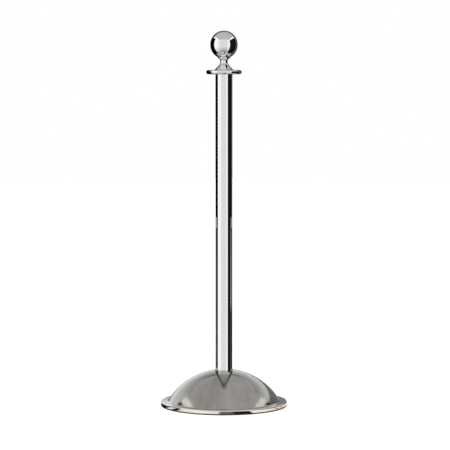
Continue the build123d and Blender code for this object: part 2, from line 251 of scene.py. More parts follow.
def rounded(points, radii, steps=5):
    """A closed outline from corner points, each rounded by its own radius (0 leaves it sharp)."""
    made = []
    count = len(points)
    nearly_straight = math.radians(89.5)
    most_of_a_side = 0.45
    for i, corner in enumerate(points):
        here, radius = Vector(corner), radii[i]
        back = Vector(points[i - 1]) - here
        ahead = Vector(points[(i + 1) % count]) - here
        half = back.angle(ahead) / 2
        if radius <= 0 or half > nearly_straight:
            made.append(tuple(here))
            continue
        room = most_of_a_side * min(back.length, ahead.length)
        reach = min(radius / math.tan(half), room)
        radius = reach * math.tan(half)
        to_back = back.normalized()
        to_ahead = ahead.normalized()
        centre = here + (to_back + to_ahead).normalized() * (radius / math.sin(half))
        first = (here + to_back * reach - centre).normalized()
        last = (here + to_ahead * reach - centre).normalized()
        for k in range(steps + 1):
            made.append(tuple(centre + first.slerp(last, k / steps) * radius))
    return made


def guarded(points, guard=0.0002):
    """The same closed outline with a point close to each end of its longer straight runs."""
    made = []
    for i, start in enumerate(points):
        end = points[(i + 1) % len(points)]
        made += straight(start, end, guard)[:-1]
    return made


def joined(*runs):
    """One closed outline from several runs, without repeated points."""
    made = []
    for run in runs:
        for point in run:
            if not made or math.dist(point, made[-1]) > SAME_POINT:
                made.append(point)
    if math.dist(made[0], made[-1]) < SAME_POINT:
        made.pop()
    return made


# ---------------------------------------------------------------- meshes
def finished(bm, name, material, body, replaces, crease=32.0):
    """Makes a closed mesh's object and puts it on its body in place of its CAD nodes."""
    bmesh.ops.remove_doubles(bm, verts=bm.verts, dist=WELD)
    bmesh.ops.recalc_face_normals(bm, faces=bm.faces)
    if any(not edge.is_manifold for edge in bm.edges):
        raise RuntimeError(f"{name} is not a closed mesh")
    mesh = bpy.data.meshes.new(name)
    bm.to_mesh(mesh)
    bm.free()
    mesh.shade_smooth()
    mesh.set_sharp_from_angle(angle=math.radians(crease))
    mesh.materials.append(material)
    obj = bpy.data.objects.new(name, mesh)
    bpy.context.scene.collection.objects.link(obj)
    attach(obj, body)
    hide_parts(*replaces)
    return obj


def turned(bm, outline, segments):
    """Turns a closed outline round the post's axis."""
    rings = []
    for r, z in outline:
        if r < ON_AXIS:
            rings.append([bm.verts.new((0, 0, z))] * segments)
            continue
        ring = []
        for i in range(segments):
            a = math.tau * i / segments
            ring.append(bm.verts.new((r * math.cos(a), r * math.sin(a), z)))
        rings.append(ring)
    for k, ring in enumerate(rings):
        above = rings[(k + 1) % len(rings)]
        for i in range(segments):
            j = (i + 1) % segments
            corners = []
            for v in (ring[i], ring[j], above[j], above[i]):
                if v not in corners:
                    corners.append(v)
            if len(corners) > 2:
                bm.faces.new(corners)
    return bm


def turned_piece(name, outline, material, body, replaces, segments=192):
    """A piece turned from one closed outline."""
    bm = turned(bmesh.new(), outline, segments)
    return finished(bm, name, material, body, replaces)


def circle_loop(bm, x, y, z, radius, segments):
    """A ring of vertices round an upright line."""
    loop = []
    for i in range(segments):
        a = math.tau * i / segments
        loop.append(bm.verts.new((x + radius * math.cos(a), y + radius * math.sin(a), z)))
    return loop


def strip_between(bm, first, second):
    """Faces between two rings of the same number of vertices."""
    for i in range(len(first)):
        j = (i + 1) % len(first)
        bm.faces.new((first[i], first[j], second[j], second[i]))


def ring_edges(bm, loop):
    """The edges of a ring of vertices."""
    edges = []
    for i, v in enumerate(loop):
        w = loop[(i + 1) % len(loop)]
        edges.append(bm.edges.get((v, w)) or bm.edges.new((v, w)))
    return edges


def cap(bm, *loops):
    """Fills the flat between rings of vertices: an outer one and any holes in it."""
    edges = [edge for loop in loops for edge in ring_edges(bm, loop)]
    bmesh.ops.triangle_fill(bm, use_beauty=True, edges=edges)


def helix_rows(low, high, pitch, per_pitch):
    """Heights of the rows of a thread, before each climbs by one pitch a turn."""
    count = math.ceil((high - low) / pitch) + 2
    return [low - pitch + pitch * i / per_pitch for i in range(count * per_pitch)]


def thread_ridge(phase):
    """Height of the thread's ridge, from 0 to 1, by the share of a pitch: root, flank, crest, flank."""
    crest, flank = 1.6, 4.0
    return min(1.0, max(0.0, crest - abs(phase - 0.5) * flank))


def threaded_shaft(bm, low, high, crest, depth, pitch, segments=48, per_pitch=8):
    """Adds a closed threaded shaft: rows climb by one pitch a turn, and both ends taper."""
    rows = helix_rows(low, high, pitch, per_pitch)
    end_cut, taper = 0.0001, 2.6 * depth / pitch
    columns = []
    for i in range(segments + 1):
        climb = pitch * i / segments
        column = []
        for k, row in enumerate(rows):
            z = min(max(row + climb, low), high)
            ridge = thread_ridge((k % per_pitch) / per_pitch)
            radius = crest - depth * (1.0 - ridge)
            end = min(z - low, high - z)
            radius = min(radius, crest - depth - end_cut + end * taper)
            column.append((radius, z))
        columns.append(column)
    grid = []
    for i in range(segments):
        a = math.tau * i / segments
        grid.append([bm.verts.new((r * math.cos(a), r * math.sin(a), z)) for r, z in columns[i]])
    for i in range(segments):
        here = grid[i]
        last = i == segments - 1
        beyond = grid[0][per_pitch:] if last else grid[i + 1]
        for k in range(min(len(here), len(beyond)) - 1):
            bm.faces.new((here[k], here[k + 1], beyond[k + 1], beyond[k]))
    bmesh.ops.remove_doubles(bm, verts=bm.verts, dist=WELD)
    bmesh.ops.dissolve_degenerate(bm, edges=bm.edges, dist=WELD)
    loose = [v for v in bm.verts if not v.link_faces]
    bmesh.ops.delete(bm, geom=loose, context="VERTS")
    close_ends(bm, (low, high))


def close_ends(bm, heights):
    """Closes the open rings that lie at these heights."""
    near = 1e-6
    for height in heights:
        rim = [
            edge for edge in bm.edges
            if edge.is_boundary and all(abs(v.co.z - height) < near for v in edge.verts)
        ]
        bmesh.ops.holes_fill(bm, edges=rim, sides=0)


def hexagon(bm, across, low, high, hole, chamfer, segments=72):
    """Adds a hexagon whose corners are turned off at both ends, with a round hole (0 for none)."""
    rows = []
    levels = 8
    bore_chamfer = 0.0006
    corner = across / math.sqrt(3)
    face = across / 2 - 0.0003
    for k in range(levels + 1):
        t = k / levels
        z = low + (high - low) * t
        edge = min(t, 1 - t) * (high - low)
        turned_to = face + (corner - face) * min(1.0, edge / chamfer)
        row = []
        for i in range(segments):
            a = math.tau * i / segments
            flat = across / 2 / math.cos((a + math.pi / 6) % (math.pi / 3) - math.pi / 6)
            r = min(flat, turned_to)
            row.append(bm.verts.new((r * math.cos(a), r * math.sin(a), z)))
        rows.append(row)
    for first, second in zip(rows, rows[1:]):
        strip_between(bm, first, second)
    if hole:
        mouth = hole + bore_chamfer
        steps = ((low, mouth), (low + bore_chamfer, hole), (high - bore_chamfer, hole), (high, mouth))
        bore = [circle_loop(bm, 0, 0, z, r, segments) for z, r in steps]
        for first, second in zip(bore, bore[1:]):
            strip_between(bm, first, second)
        strip_between(bm, rows[0], bore[0])
        strip_between(bm, rows[-1], bore[-1])
    else:
        bm.faces.new(rows[0])
        bm.faces.new(rows[-1])
    return bm


# ---------------------------------------------------------------- finishes
class Nodes:
    """A node tree, with short ways to add to it."""

    def __init__(self, tree):
        self.tree = tree

    def node(self, kind, settings=None, **inputs):
        """A node, with its inputs set to numbers or linked to sockets by name."""
        made = self.tree.nodes.new(kind)
        for key, value in (settings or {}).items():
            setattr(made, key, value)
        for key, value in inputs.items():
            self.put(made.inputs[key.replace("_", " ")], value)
        return made

    def put(self, socket, value):
        """Links a socket to another, or sets it."""
        if isinstance(value, bpy.types.NodeSocket):
            self.tree.links.new(value, socket)
        else:
            socket.default_value = value

    def sum(self, operation, *values):
        """The result of a Math node."""
        made = self.tree.nodes.new("ShaderNodeMath")
        made.operation = operation
        for socket, value in zip(made.inputs, values):
            self.put(socket, value)
        return made.outputs[0]

    def vector(self, operation, *values):
        """A Vector Math node."""
        made = self.tree.nodes.new("ShaderNodeVectorMath")
        made.operation = operation
        for socket, value in zip(made.inputs, values):
            self.put(socket, value)
        return made

    def range(self, value, low, high, to_low, to_high, smooth=True):
        """A value moved from one range to another."""
        form = "SMOOTHSTEP" if smooth else "LINEAR"
        made = self.node("ShaderNodeMapRange", {"interpolation_type": form})
        for key, number in zip(("Value", "From Min", "From Max", "To Min", "To Max"),
                               (value, low, high, to_low, to_high)):
            self.put(made.inputs[key], number)
        return made.outputs["Result"]

    def mask(self, value, low, high):
        """A smooth step from 0 below one value to 1 above another."""
        return self.range(value, low, high, 0.0, 1.0)

    def blend(self, factor, first, second, mode="MIX"):
        """Two colours mixed."""
        made = self.node("ShaderNodeMix", {"data_type": "RGBA", "blend_type": mode})
        for key, value in (("Factor_Float", factor), ("A_Color", first), ("B_Color", second)):
            socket = next(s for s in made.inputs if s.identifier == key)
            if isinstance(value, bpy.types.NodeSocket) or key == "Factor_Float":
                self.put(socket, value)
            else:
                socket.default_value = (*value, 1.0)
        return next(s for s in made.outputs if s.identifier == "Result_Color")


class Finish(Nodes):
    """One material, whose nodes start from the object's own coordinates."""

    def __init__(self, name):
        self.material = bpy.data.materials.new(name)
        self.material.use_nodes = True
        super().__init__(self.material.node_tree)
        self.shader = self.tree.nodes["Principled BSDF"]
        self.place = self.node("ShaderNodeTexCoord").outputs["Object"]
        self.x, self.y, self.z = self.node("ShaderNodeSeparateXYZ", Vector=self.place).outputs
        flat = self.node("ShaderNodeCombineXYZ", X=self.x, Y=self.y).outputs[0]
        self.radius = self.vector("LENGTH", flat).outputs["Value"]
        self.around = self.sum("ARCTAN2", self.y, self.x)

    def cloud(self, scale, detail=4.0, rough=0.55, place=None, w=None):
        """Soft noise from 0 to 1."""
        made = self.node("ShaderNodeTexNoise", {"noise_dimensions": "3D" if w is None else "4D"})
        self.put(made.inputs["Vector"], self.place if place is None else place)
        if w is not None:
            self.put(made.inputs["W"], w)
        self.put(made.inputs["Scale"], scale)
        self.put(made.inputs["Detail"], detail)
        self.put(made.inputs["Roughness"], rough)
        return made.outputs["Fac"]

    def lathe_lines(self, fine, along, detail=3.0):
        """Noise drawn out round the post's axis into fine turned lines."""
        stretched = self.node(
            "ShaderNodeCombineXYZ",
            X=self.sum("MULTIPLY", self.x, along),
            Y=self.sum("MULTIPLY", self.y, along),
            Z=self.sum("MULTIPLY", self.z, fine),
        ).outputs[0]
        return self.cloud(1.0, detail, 0.6, stretched, self.sum("MULTIPLY", self.radius, fine))

    def bump(self, height, strength, distance, under=None):
        """A bump from a height, on top of another bump if one is given."""
        made = self.node("ShaderNodeBump", Height=height, Strength=strength, Distance=distance)
        if under is not None:
            self.put(made.inputs["Normal"], under)
        return made.outputs["Normal"]

    def finish(self, **inputs):
        """Sets the shader's inputs and returns the material."""
        for key, value in inputs.items():
            self.put(self.shader.inputs[key.replace("_", " ")], value)
        return self.material


def polished_metal(name, colour, rough, fine=2600.0, depth=1.0):
    """Mirror chrome with fine buffing lines, a faint haze and finger smudges."""
    f = Finish(name)
    lines = f.lathe_lines(fine, 55.0)
    haze = f.mask(f.cloud(9.0, detail=3.0), 0.42, 0.68)
    smudge = f.mask(f.cloud(85.0, detail=5.0, rough=0.62), 0.60, 0.74)
    scratch = f.mask(f.lathe_lines(fine * 2.2, 18.0, detail=1.0), 0.68, 0.76)
    marks = rough
    for mark, dulling in ((haze, 0.012), (smudge, 0.022), (scratch, 0.02)):
        marks = f.sum("MULTIPLY_ADD", mark, dulling, marks)
    dull = f.sum("MULTIPLY_ADD", smudge, 0.45, f.sum("MULTIPLY", haze, 0.35))
    colour_here = f.blend(dull, colour, [c * 0.965 for c in colour])
    normal = f.bump(lines, strength=0.012 * depth, distance=0.00005)
    return f.finish(
        Base_Color=colour_here, Metallic=1.0, Roughness=marks, Normal=normal,
        # The specular tint is painted shade: a dark outline where the metal is seen edge-on.
        Specular_Tint=PAINTED_EDGE_SHADE,
    )


def spun_cover(name, finishes, base):
    """Satin spun steel on the dome, with painted light on the ledge, polished on the rounded edge and
    rim.
    """
    f = Finish(name)
    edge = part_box("base_cover")[1].x
    foot = edge - base.ledge_width
    foot_blend = 0.001
    lines = f.lathe_lines(1500.0, 22.0, detail=4.0)
    bands = f.lathe_lines(260.0, 9.0, detail=2.0)
    # Painted sheen: radial streaks in the dome's colour stand in for the fan-shaped highlights of its
    # spun finish.
    fan_spread, fan_fade = 2.4, 5.0
    turn = f.node(
        "ShaderNodeCombineXYZ",
        X=f.sum("MULTIPLY", f.sum("COSINE", f.around), fan_spread),
        Y=f.sum("MULTIPLY", f.sum("SINE", f.around), fan_spread),
        Z=f.sum("MULTIPLY", f.radius, fan_fade),
    ).outputs[0]
    fan_sheen = f.cloud(1.0, detail=4.0, rough=0.6, place=turn)
    mottle = f.cloud(26.0, detail=5.0, rough=0.6)
    out = f.mask(f.radius, edge - base.rim_round, edge - 0.35 * base.rim_round)
    inside = f.mask(f.radius, edge - 1.4 * base.sheet, edge - base.sheet)
    bright = f.sum("MULTIPLY", out, inside)
    # The tone mixes the painted fan sheen with random mottle.
    tone = f.sum("MULTIPLY_ADD", fan_sheen, 0.80, f.sum("MULTIPLY_ADD", mottle, 0.50, 0.35))
    tone = f.sum("MULTIPLY_ADD", lines, 0.10, f.sum("SUBTRACT", tone, 0.05))
    satin = f.vector("SCALE", (*finishes.satin,))
    f.put(satin.inputs["Scale"], tone)
    # Painted reflection: warm patches in the polished rim's colour, like the warm cards it mirrors.
    warm = f.mask(f.cloud(14.0, detail=2.0, rough=0.5), 0.40, 0.62)
    rim = f.blend(warm, finishes.rim, (0.90, 0.80, 0.72))
    # Painted light: the flat ledge's colour is raised towards the bright rim colour for the light it
    # catches.
    painted_ledge_light = f.range(f.radius, foot, foot + foot_blend, 0.0, 0.6)
    colour = f.blend(painted_ledge_light, satin.outputs[0], finishes.rim)
    colour = f.blend(bright, colour, rim)
    rough = f.sum("MULTIPLY_ADD", lines, 0.06, finishes.satin_rough - 0.03)
    rough = f.sum("MULTIPLY_ADD", f.mask(mottle, 0.45, 0.7), 0.05, rough)
    rough = f.range(bright, 0.0, 1.0, rough, finishes.rim_rough, smooth=False)
    heights = f.sum("MULTIPLY_ADD", bands, 0.7, lines)
    grain_strength = f.range(bright, 0.0, 1.0, 0.10, 0.015, smooth=False)
    grain = f.bump(heights, grain_strength, distance=0.00012)
    wave_height = f.cloud(30.0, detail=2.0, rough=0.5)
    wave_strength = f.range(bright, 0.0, 1.0, 0.10, 0.45, smooth=False)
    wave = f.bump(wave_height, wave_strength, distance=0.0012, under=grain)
    tangent = f.node("ShaderNodeTangent", {"direction_type": "RADIAL", "axis": "Z"}).outputs[0]
    return f.finish(
        Base_Color=colour, Metallic=1.0, Roughness=rough, Normal=wave,
        Anisotropic=0.45, Tangent=tangent,
    )


def cast_iron(name, colour, rust):
    """Sand-cast grey iron: pitted skin, rust bloom and rubbed high spots."""
    f = Finish(name)
    sand = f.cloud(900.0, detail=4.0, rough=0.7)
    swell = f.cloud(75.0, detail=4.0, rough=0.55)
    grit = f.node("ShaderNodeTexVoronoi", {"feature": "F1"}, Vector=f.place, Scale=420.0)
    pits = f.mask(grit.outputs["Distance"], 0.0, 0.35)
    bloom = f.mask(f.cloud(32.0, detail=6.0, rough=0.65), 0.52, 0.70)
    skin = f.blend(f.mask(sand, 0.3, 0.7), colour, [c * 1.7 for c in colour])
    skin = f.blend(f.sum("MULTIPLY", bloom, 0.75), skin, rust)
    rough = f.sum("MULTIPLY_ADD", bloom, 0.16, f.range(sand, 0.3, 0.7, 0.62, 0.78))
    normal = f.bump(swell, strength=0.6, distance=0.0012)
    normal = f.bump(pits, strength=0.5, distance=0.0004, under=normal)
    normal = f.bump(sand, strength=0.5, distance=0.0003, under=normal)
    return f.finish(Base_Color=skin, Metallic=0.35, Roughness=rough, Normal=normal)


def rubber(name, colour):
    """Moulded black rubber with a fine grain, dust in the low spots and scuffs."""
    f = Finish(name)
    grain = f.cloud(2200.0, detail=2.0, rough=0.5)
    dust = f.mask(f.cloud(60.0, detail=5.0, rough=0.65), 0.50, 0.72)
    scuff = f.mask(f.lathe_lines(700.0, 40.0, detail=2.0), 0.60, 0.72)
    skin = f.blend(f.sum("MULTIPLY", dust, 0.5), colour, (0.075, 0.072, 0.068))
    skin = f.blend(f.sum("MULTIPLY", scuff, 0.4), skin, (0.05, 0.05, 0.05))
    rough = f.sum("MULTIPLY_ADD", dust, 0.18, f.range(grain, 0.3, 0.7, 0.56, 0.70))
    normal = f.bump(grain, strength=0.35, distance=0.00015)
    return f.finish(Base_Color=skin, Roughness=rough, Normal=normal, Specular_IOR_Level=0.4)


def zinc_plate(name, cool, warm):
    """Zinc-plated steel: cool and yellow casts, tool lines and a dull bloom."""
    f = Finish(name)
    lines = f.lathe_lines(900.0, 60.0)
    cast = f.mask(f.cloud(150.0, detail=3.0, rough=0.5), 0.42, 0.64)
    bloom = f.mask(f.cloud(420.0, detail=5.0, rough=0.65), 0.50, 0.72)
    skin = f.blend(f.sum("MULTIPLY", cast, 0.7), cool, warm)
    skin = f.blend(f.sum("MULTIPLY", bloom, 0.4), skin, [c * 0.72 for c in cool])
    rough = f.sum("MULTIPLY_ADD", bloom, 0.18, f.range(lines, 0.3, 0.7, 0.24, 0.34))
    normal = f.bump(lines, strength=0.12, distance=0.0001)
    return f.finish(Base_Color=skin, Metallic=1.0, Roughness=rough, Normal=normal)


def nylon(name, colour):
    """Turned natural nylon: milky, with fine tool lines and a little grime."""
    f = Finish(name)
    lines = f.lathe_lines(1800.0, 40.0)
    grime = f.mask(f.cloud(120.0, detail=5.0, rough=0.6), 0.50, 0.75)
    skin = f.blend(f.sum("MULTIPLY", grime, 0.35), colour, (0.62, 0.59, 0.52))
    rough = f.sum("MULTIPLY_ADD", grime, 0.12, f.range(lines, 0.3, 0.7, 0.38, 0.50))
    normal = f.bump(lines, strength=0.15, distance=0.0001)
    return f.finish(
        Base_Color=skin, Roughness=rough, Normal=normal,
        Subsurface_Weight=0.15, Subsurface_Scale=0.002,
    )


def paper(name, colour):
    """Pale floor paper with a faint tooth."""
    f = Finish(name)
    tooth = f.cloud(700.0, detail=3.0, rough=0.6)
    patches = f.mask(f.cloud(2.5, detail=3.0), 0.35, 0.65)
    skin = f.blend(patches, colour, [c * 0.985 for c in colour])
    normal = f.bump(tooth, strength=0.1, distance=0.0002)
    return f.finish(Base_Color=skin, Roughness=0.9, Normal=normal, Specular_IOR_Level=0.1)


def shared_finish(name, make, *args, **kwargs):
    """A finish made once and used by several pieces."""
    return bpy.data.materials.get(name) or make(name, *args, **kwargs)


def chrome(context, name="polished_tube", **kwargs):
    """The polished metal finish, by the way the piece was buffed."""
    finishes = context.scene.stanchion_finishes
    colour = tuple(finishes.chrome)
    return shared_finish(name, polished_metal, colour, finishes.chrome_rough, **kwargs)


def turned_chrome(context):
    """The polished finish of the turned pieces at the top of the post."""
    return chrome(context, "polished_turned", fine=2000.0, depth=0.5)


def zinc(context):
    """The plated finish of every hidden fastener and plug."""
    finishes = context.scene.stanchion_finishes
    return shared_finish("zinc_plate", zinc_plate, tuple(finishes.zinc), tuple(finishes.zinc_warm))


def refinish(node, material, crease=30.0):
    """Gives a CAD node that keeps its own shape a better finish."""
    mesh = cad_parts[node].data
    mesh.materials.clear()
    mesh.materials.append(material)
    mesh.shade_smooth()
    mesh.set_sharp_from_angle(angle=math.radians(crease))


# ---------------------------------------------------------------- sizes read from the frame
def smallest_radius(node):
    """Smallest distance from the post's axis of a CAD node's points."""
    return min(math.hypot(v.co.x, v.co.y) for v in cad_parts[node].data.vertices)


def widest_radius_at(node, height):
    """Widest distance from the post's axis of a CAD node's points at a height."""
    near = 1e-5
    return max(
        math.hypot(v.co.x, v.co.y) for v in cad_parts[node].data.vertices
        if abs(v.co.z - height) < near
    )


# ---------------------------------------------------------------- operators
class STANCHION_OT_base_cover(bpy.types.Operator):
    """Turns the spun base cover: seat, dome, cove, ledge, rounded edge and hem"""

    bl_idname = "stanchion.base_cover"
    bl_label = "Base Cover"

    def execute(self, context):
        s = context.scene.stanchion_base
        low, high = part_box("base_cover")
        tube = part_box("post_tube")[1].x
        edge, hem_z, seat_z = high.x, low.z, high.z
        foot = edge - s.ledge_width
        radius, centre_z = dome_sphere(foot, tube, s.ledge_height, seat_z)
        inner = radius - s.sheet
        cove_z = s.ledge_height + s.cove
        cove_r = math.sqrt((radius + s.cove) ** 2 - (cove_z - centre_z) ** 2)
        cove_angle = math.degrees(math.atan2(cove_z - centre_z, cove_r))
        seat_angle = math.degrees(math.acos(tube / radius))
        under_angle = math.degrees(math.asin((seat_z - s.sheet - centre_z) / inner))
        under_seat = inner * math.cos(math.radians(under_angle))
        hole = smallest_radius("base_cover")
        rim = (edge - s.rim_round, s.ledge_height - s.rim_round)
        hem = s.sheet / 2
        outline = joined(
            straight((hole, seat_z), (tube, seat_z)),
            arc((0, centre_z), radius, seat_angle, cove_angle, steps=110),
            arc((cove_r, cove_z), s.cove, 180 + cove_angle, 270, steps=16),
            straight((cove_r, s.ledge_height), (rim[0], s.ledge_height), pieces=6),
            arc(rim, s.rim_round, 90, 0, steps=18),
            straight((edge, rim[1]), (edge, hem_z + hem), pieces=4),
            arc((edge - hem, hem_z + hem), hem, 0, -180, steps=10),
            straight((edge - s.sheet, hem_z + hem), (edge - s.sheet, rim[1]), pieces=2),
            arc(rim, s.rim_round - s.sheet, 0, 90, steps=10),
            straight((rim[0], s.ledge_height - s.sheet), (cove_r, s.ledge_height - s.sheet)),
            arc((cove_r, cove_z), s.cove + s.sheet, 270, 180 + cove_angle, steps=8),
            arc((0, centre_z), inner, cove_angle, under_angle, steps=40),
            straight((under_seat, seat_z - s.sheet), (hole, seat_z - s.sheet)),
        )
        finishes = context.scene.stanchion_finishes
        material = shared_finish("spun_cover", spun_cover, finishes, s)
        turned_piece(
            "cover_dome", outline, material, "post", ["base_cover"], segments=288
        )
        return {"FINISHED"}


def dome_sphere(foot, tube, ledge, seat_z):
    """Radius and centre height of the dome that runs from the ledge to the tube's foot."""
    rise = seat_z - ledge
    centre_z = (tube**2 + seat_z**2 - foot**2 - ledge**2) / (2 * rise)
    return math.hypot(foot, ledge - centre_z), centre_z


class STANCHION_OT_base_weight(bpy.types.Operator):
    """Finishes the cast weight and builds the rubber ring under it"""

    bl_idname = "stanchion.base_weight"
    bl_label = "Weight and Floor Ring"

    def execute(self, context):
        s = context.scene.stanchion_base
        finishes = context.scene.stanchion_finishes
        iron = shared_finish("cast_iron", cast_iron, tuple(finishes.iron), tuple(finishes.rust))
        refinish("base_weight", iron)
        low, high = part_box("floor_ring")
        outer = high.x
        inner = smallest_radius("floor_ring")
        middle = (outer + inner) / 2
        half_rib = s.ring_rib_width / 2
        top = low.z + s.ring_thickness
        groove = low.z + s.ring_groove
        corners = [
            (outer, low.z), (outer, top), (middle + half_rib, top), (middle + half_rib, high.z),
            (middle - half_rib, high.z), (middle - half_rib, top), (inner, top), (inner, low.z),
            (middle - half_rib, low.z), (middle - half_rib / 2, groove),
            (middle + half_rib / 2, groove), (middle + half_rib, low.z),
        ]
        sharp, foot = 0, s.ring_round
        top_edge, rib_edge = 0.0003, 0.0005
        groove_edge, groove_bed = 0.0002, 0.0003
        radii = [
            foot, top_edge, sharp, rib_edge, rib_edge, sharp, top_edge, foot,
            groove_edge, groove_bed, groove_bed, groove_edge,
        ]
        black = shared_finish("ring_rubber", rubber, tuple(finishes.rubber))
        turned_piece(
            "rubber_floor_ring", guarded(rounded(corners, radii)), black, "post",
            ["floor_ring"],
        )
        return {"FINISHED"}


class STANCHION_OT_fasteners(bpy.types.Operator):
    """Builds the base bolt, the stud, the nut and their washers"""

    bl_idname = "stanchion.fasteners"
    bl_label = "Bolt, Stud, Nut and Washers"

    def execute(self, context):
        s = context.scene.stanchion_fasteners
        plate = zinc(context)
        self.bolt(s, plate)
        self.stud(s, plate)
        self.nut(s, plate)
        self.split_washer(s, plate, "bolt_spring_washer", "spring_washer")
        self.split_washer(s, plate, "stud_spring_washer", "stud_washer")
        low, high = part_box("flat_washer")
        hole = s.washer_hole
        corners = [(high.x, low.z), (high.x, high.z), (hole, high.z), (hole, low.z)]
        punched = [0.0004, 0.0006, 0.0003, 0.0002]  # a punched washer is rounder on its upper side
        outline = guarded(rounded(corners, punched), guard=0.0001)
        turned_piece(
            "bolt_flat_washer", outline, plate, "post", ["flat_washer"],
            segments=72,
        )
        return {"FINISHED"}

    def bolt(self, s, plate):
        """The bolt up through the weight: hexagon head, plain shank and thread."""
        low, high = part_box("base_bolt")
        head_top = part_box("spring_washer")[0].z
        across = min(high.x - low.x, high.y - low.y)
        shank = s.tapped - THREAD_PLAY
        hexagon_top = head_top - 0.0003
        face = across / 2 - 0.0006
        fillet = 0.0004
        fillet_top = head_top + fillet
        bm = bmesh.new()
        hexagon(bm, across, low.z, hexagon_top, 0, s.corner_chamfer)
        thread_low = high.z - s.thread_length
        runout = thread_low - 0.002
        root = shank - s.thread_depth - 0.0001
        shank_bm = bmesh.new()
        turned(shank_bm, joined(
            [(0, hexagon_top)],
            straight((face, hexagon_top), (face, head_top), guard=0.00005),
            arc((shank + fillet, fillet_top), fillet, 270, 180, steps=4),
            straight((shank, fillet_top), (shank, runout), guard=0.001),
            [(root, thread_low), (0, thread_low)],
        ), 72)
        thread_bm = bmesh.new()
        threaded_shaft(thread_bm, thread_low, high.z, shank, s.thread_depth, s.pitch)
        for extra in (shank_bm, thread_bm):
            merge(bm, extra)
        finished(bm, "base_bolt_m12", plate, "post", ["base_bolt"])

    def stud(self, s, plate):
        """The stud that holds the neck down and carries the ball."""
        low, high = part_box("finial_stud")
        bm = bmesh.new()
        threaded_shaft(bm, low.z, high.z, s.tapped - THREAD_PLAY, s.thread_depth, s.pitch)
        finished(bm, "threaded_stud", plate, "post", ["finial_stud"])

    def nut(self, s, plate):
        """The thin nut that locks the stud to the upper plug."""
        low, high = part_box("stud_nut")
        across = min(high.x - low.x, high.y - low.y)
        bm = hexagon(bmesh.new(), across, low.z, high.z, s.tapped, s.corner_chamfer)
        finished(bm, "stud_lock_nut", plate, "post", ["stud_nut"])

    def split_washer(self, s, plate, name, node):
        """A lock washer: a square wire bent round, whose ends step past each other."""
        low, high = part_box(node)
        outer = high.y
        gap = s.split_gap / (outer + s.split_hole)
        thickness = high.z - low.z - s.split_rise
        corner = 0.00035
        wire = rounded(
            [(outer, 0.0), (outer, thickness), (s.split_hole, thickness), (s.split_hole, 0.0)],
            [corner] * 4, steps=3,
        )
        bm = bmesh.new()
        sections = []
        steps = 60
        for i in range(steps + 1):
            a = gap + (math.tau - 2 * gap) * i / steps
            rise = s.split_rise * i / steps
            sections.append([
                bm.verts.new((r * math.cos(a), r * math.sin(a), low.z + z + rise)) for r, z in wire
            ])
        for first, second in zip(sections, sections[1:]):
            strip_between(bm, first, second)
        bm.faces.new(sections[0])
        bm.faces.new(sections[-1])
        finished(bm, name, plate, "post", [node])


def merge(bm, extra):
    """Adds another mesh's faces to this one."""
    copied = {v: bm.verts.new(v.co) for v in extra.verts}
    for face in extra.faces:
        bm.faces.new([copied[v] for v in face.verts])
    extra.free()


class STANCHION_OT_post(bpy.types.Operator):
    """Builds the polished tube and the two plugs welded in it"""

    bl_idname = "stanchion.post"
    bl_label = "Tube and Plugs"

    def execute(self, context):
        s = context.scene.stanchion_post
        low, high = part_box("post_tube")
        outer, bore = high.x, high.x - s.wall
        edge = s.tube_edge
        runs = joined(
            straight((outer, low.z + edge), (outer, high.z - edge), pieces=24),
            arc((outer - edge, high.z - edge), edge, 0, 90, steps=4),
            straight((outer - edge, high.z), (bore + edge, high.z), guard=0.0001),
            [(bore, high.z - edge)],
            straight((bore, high.z - edge), (bore, low.z + edge), pieces=12),
            [(bore + edge, low.z)],
            straight((bore + edge, low.z), (outer - edge, low.z), guard=0.0001),
            arc((outer - edge, low.z + edge), edge, -90, 0, steps=4),
        )
        turned_piece(
            "post_tube_polished", runs, chrome(context), "post", ["post_tube"]
        )
        self.plugs(context)
        return {"FINISHED"}

    def plugs(self, context):
        """Steel plugs in both ends of the tube, with plain holes where threads are tapped."""
        s = context.scene.stanchion_fasteners
        plate = zinc(context)
        low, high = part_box("lower_plug")
        side, c = high.x, s.plug_chamfer
        shoulder = low.z + s.pilot_depth
        pilot = s.pilot_radius
        corners = [
            (s.tapped, high.z), (side, high.z), (side, shoulder), (pilot, shoulder),
            (pilot, low.z), (s.tapped, low.z),
        ]
        neck_round = 0.0003
        outline = guarded(rounded(corners, [c, c, 0, neck_round, c, c], steps=2))
        turned_piece(
            "post_foot_plug", outline, plate, "post", ["lower_plug"], segments=96
        )
        low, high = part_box("upper_plug")
        corners = [(s.tapped, high.z), (high.x, high.z), (high.x, low.z), (s.tapped, low.z)]
        outline = guarded(rounded(corners, [c, c, c, c], steps=2))
        turned_piece(
            "post_head_plug", outline, plate, "post", ["upper_plug"], segments=96
        )


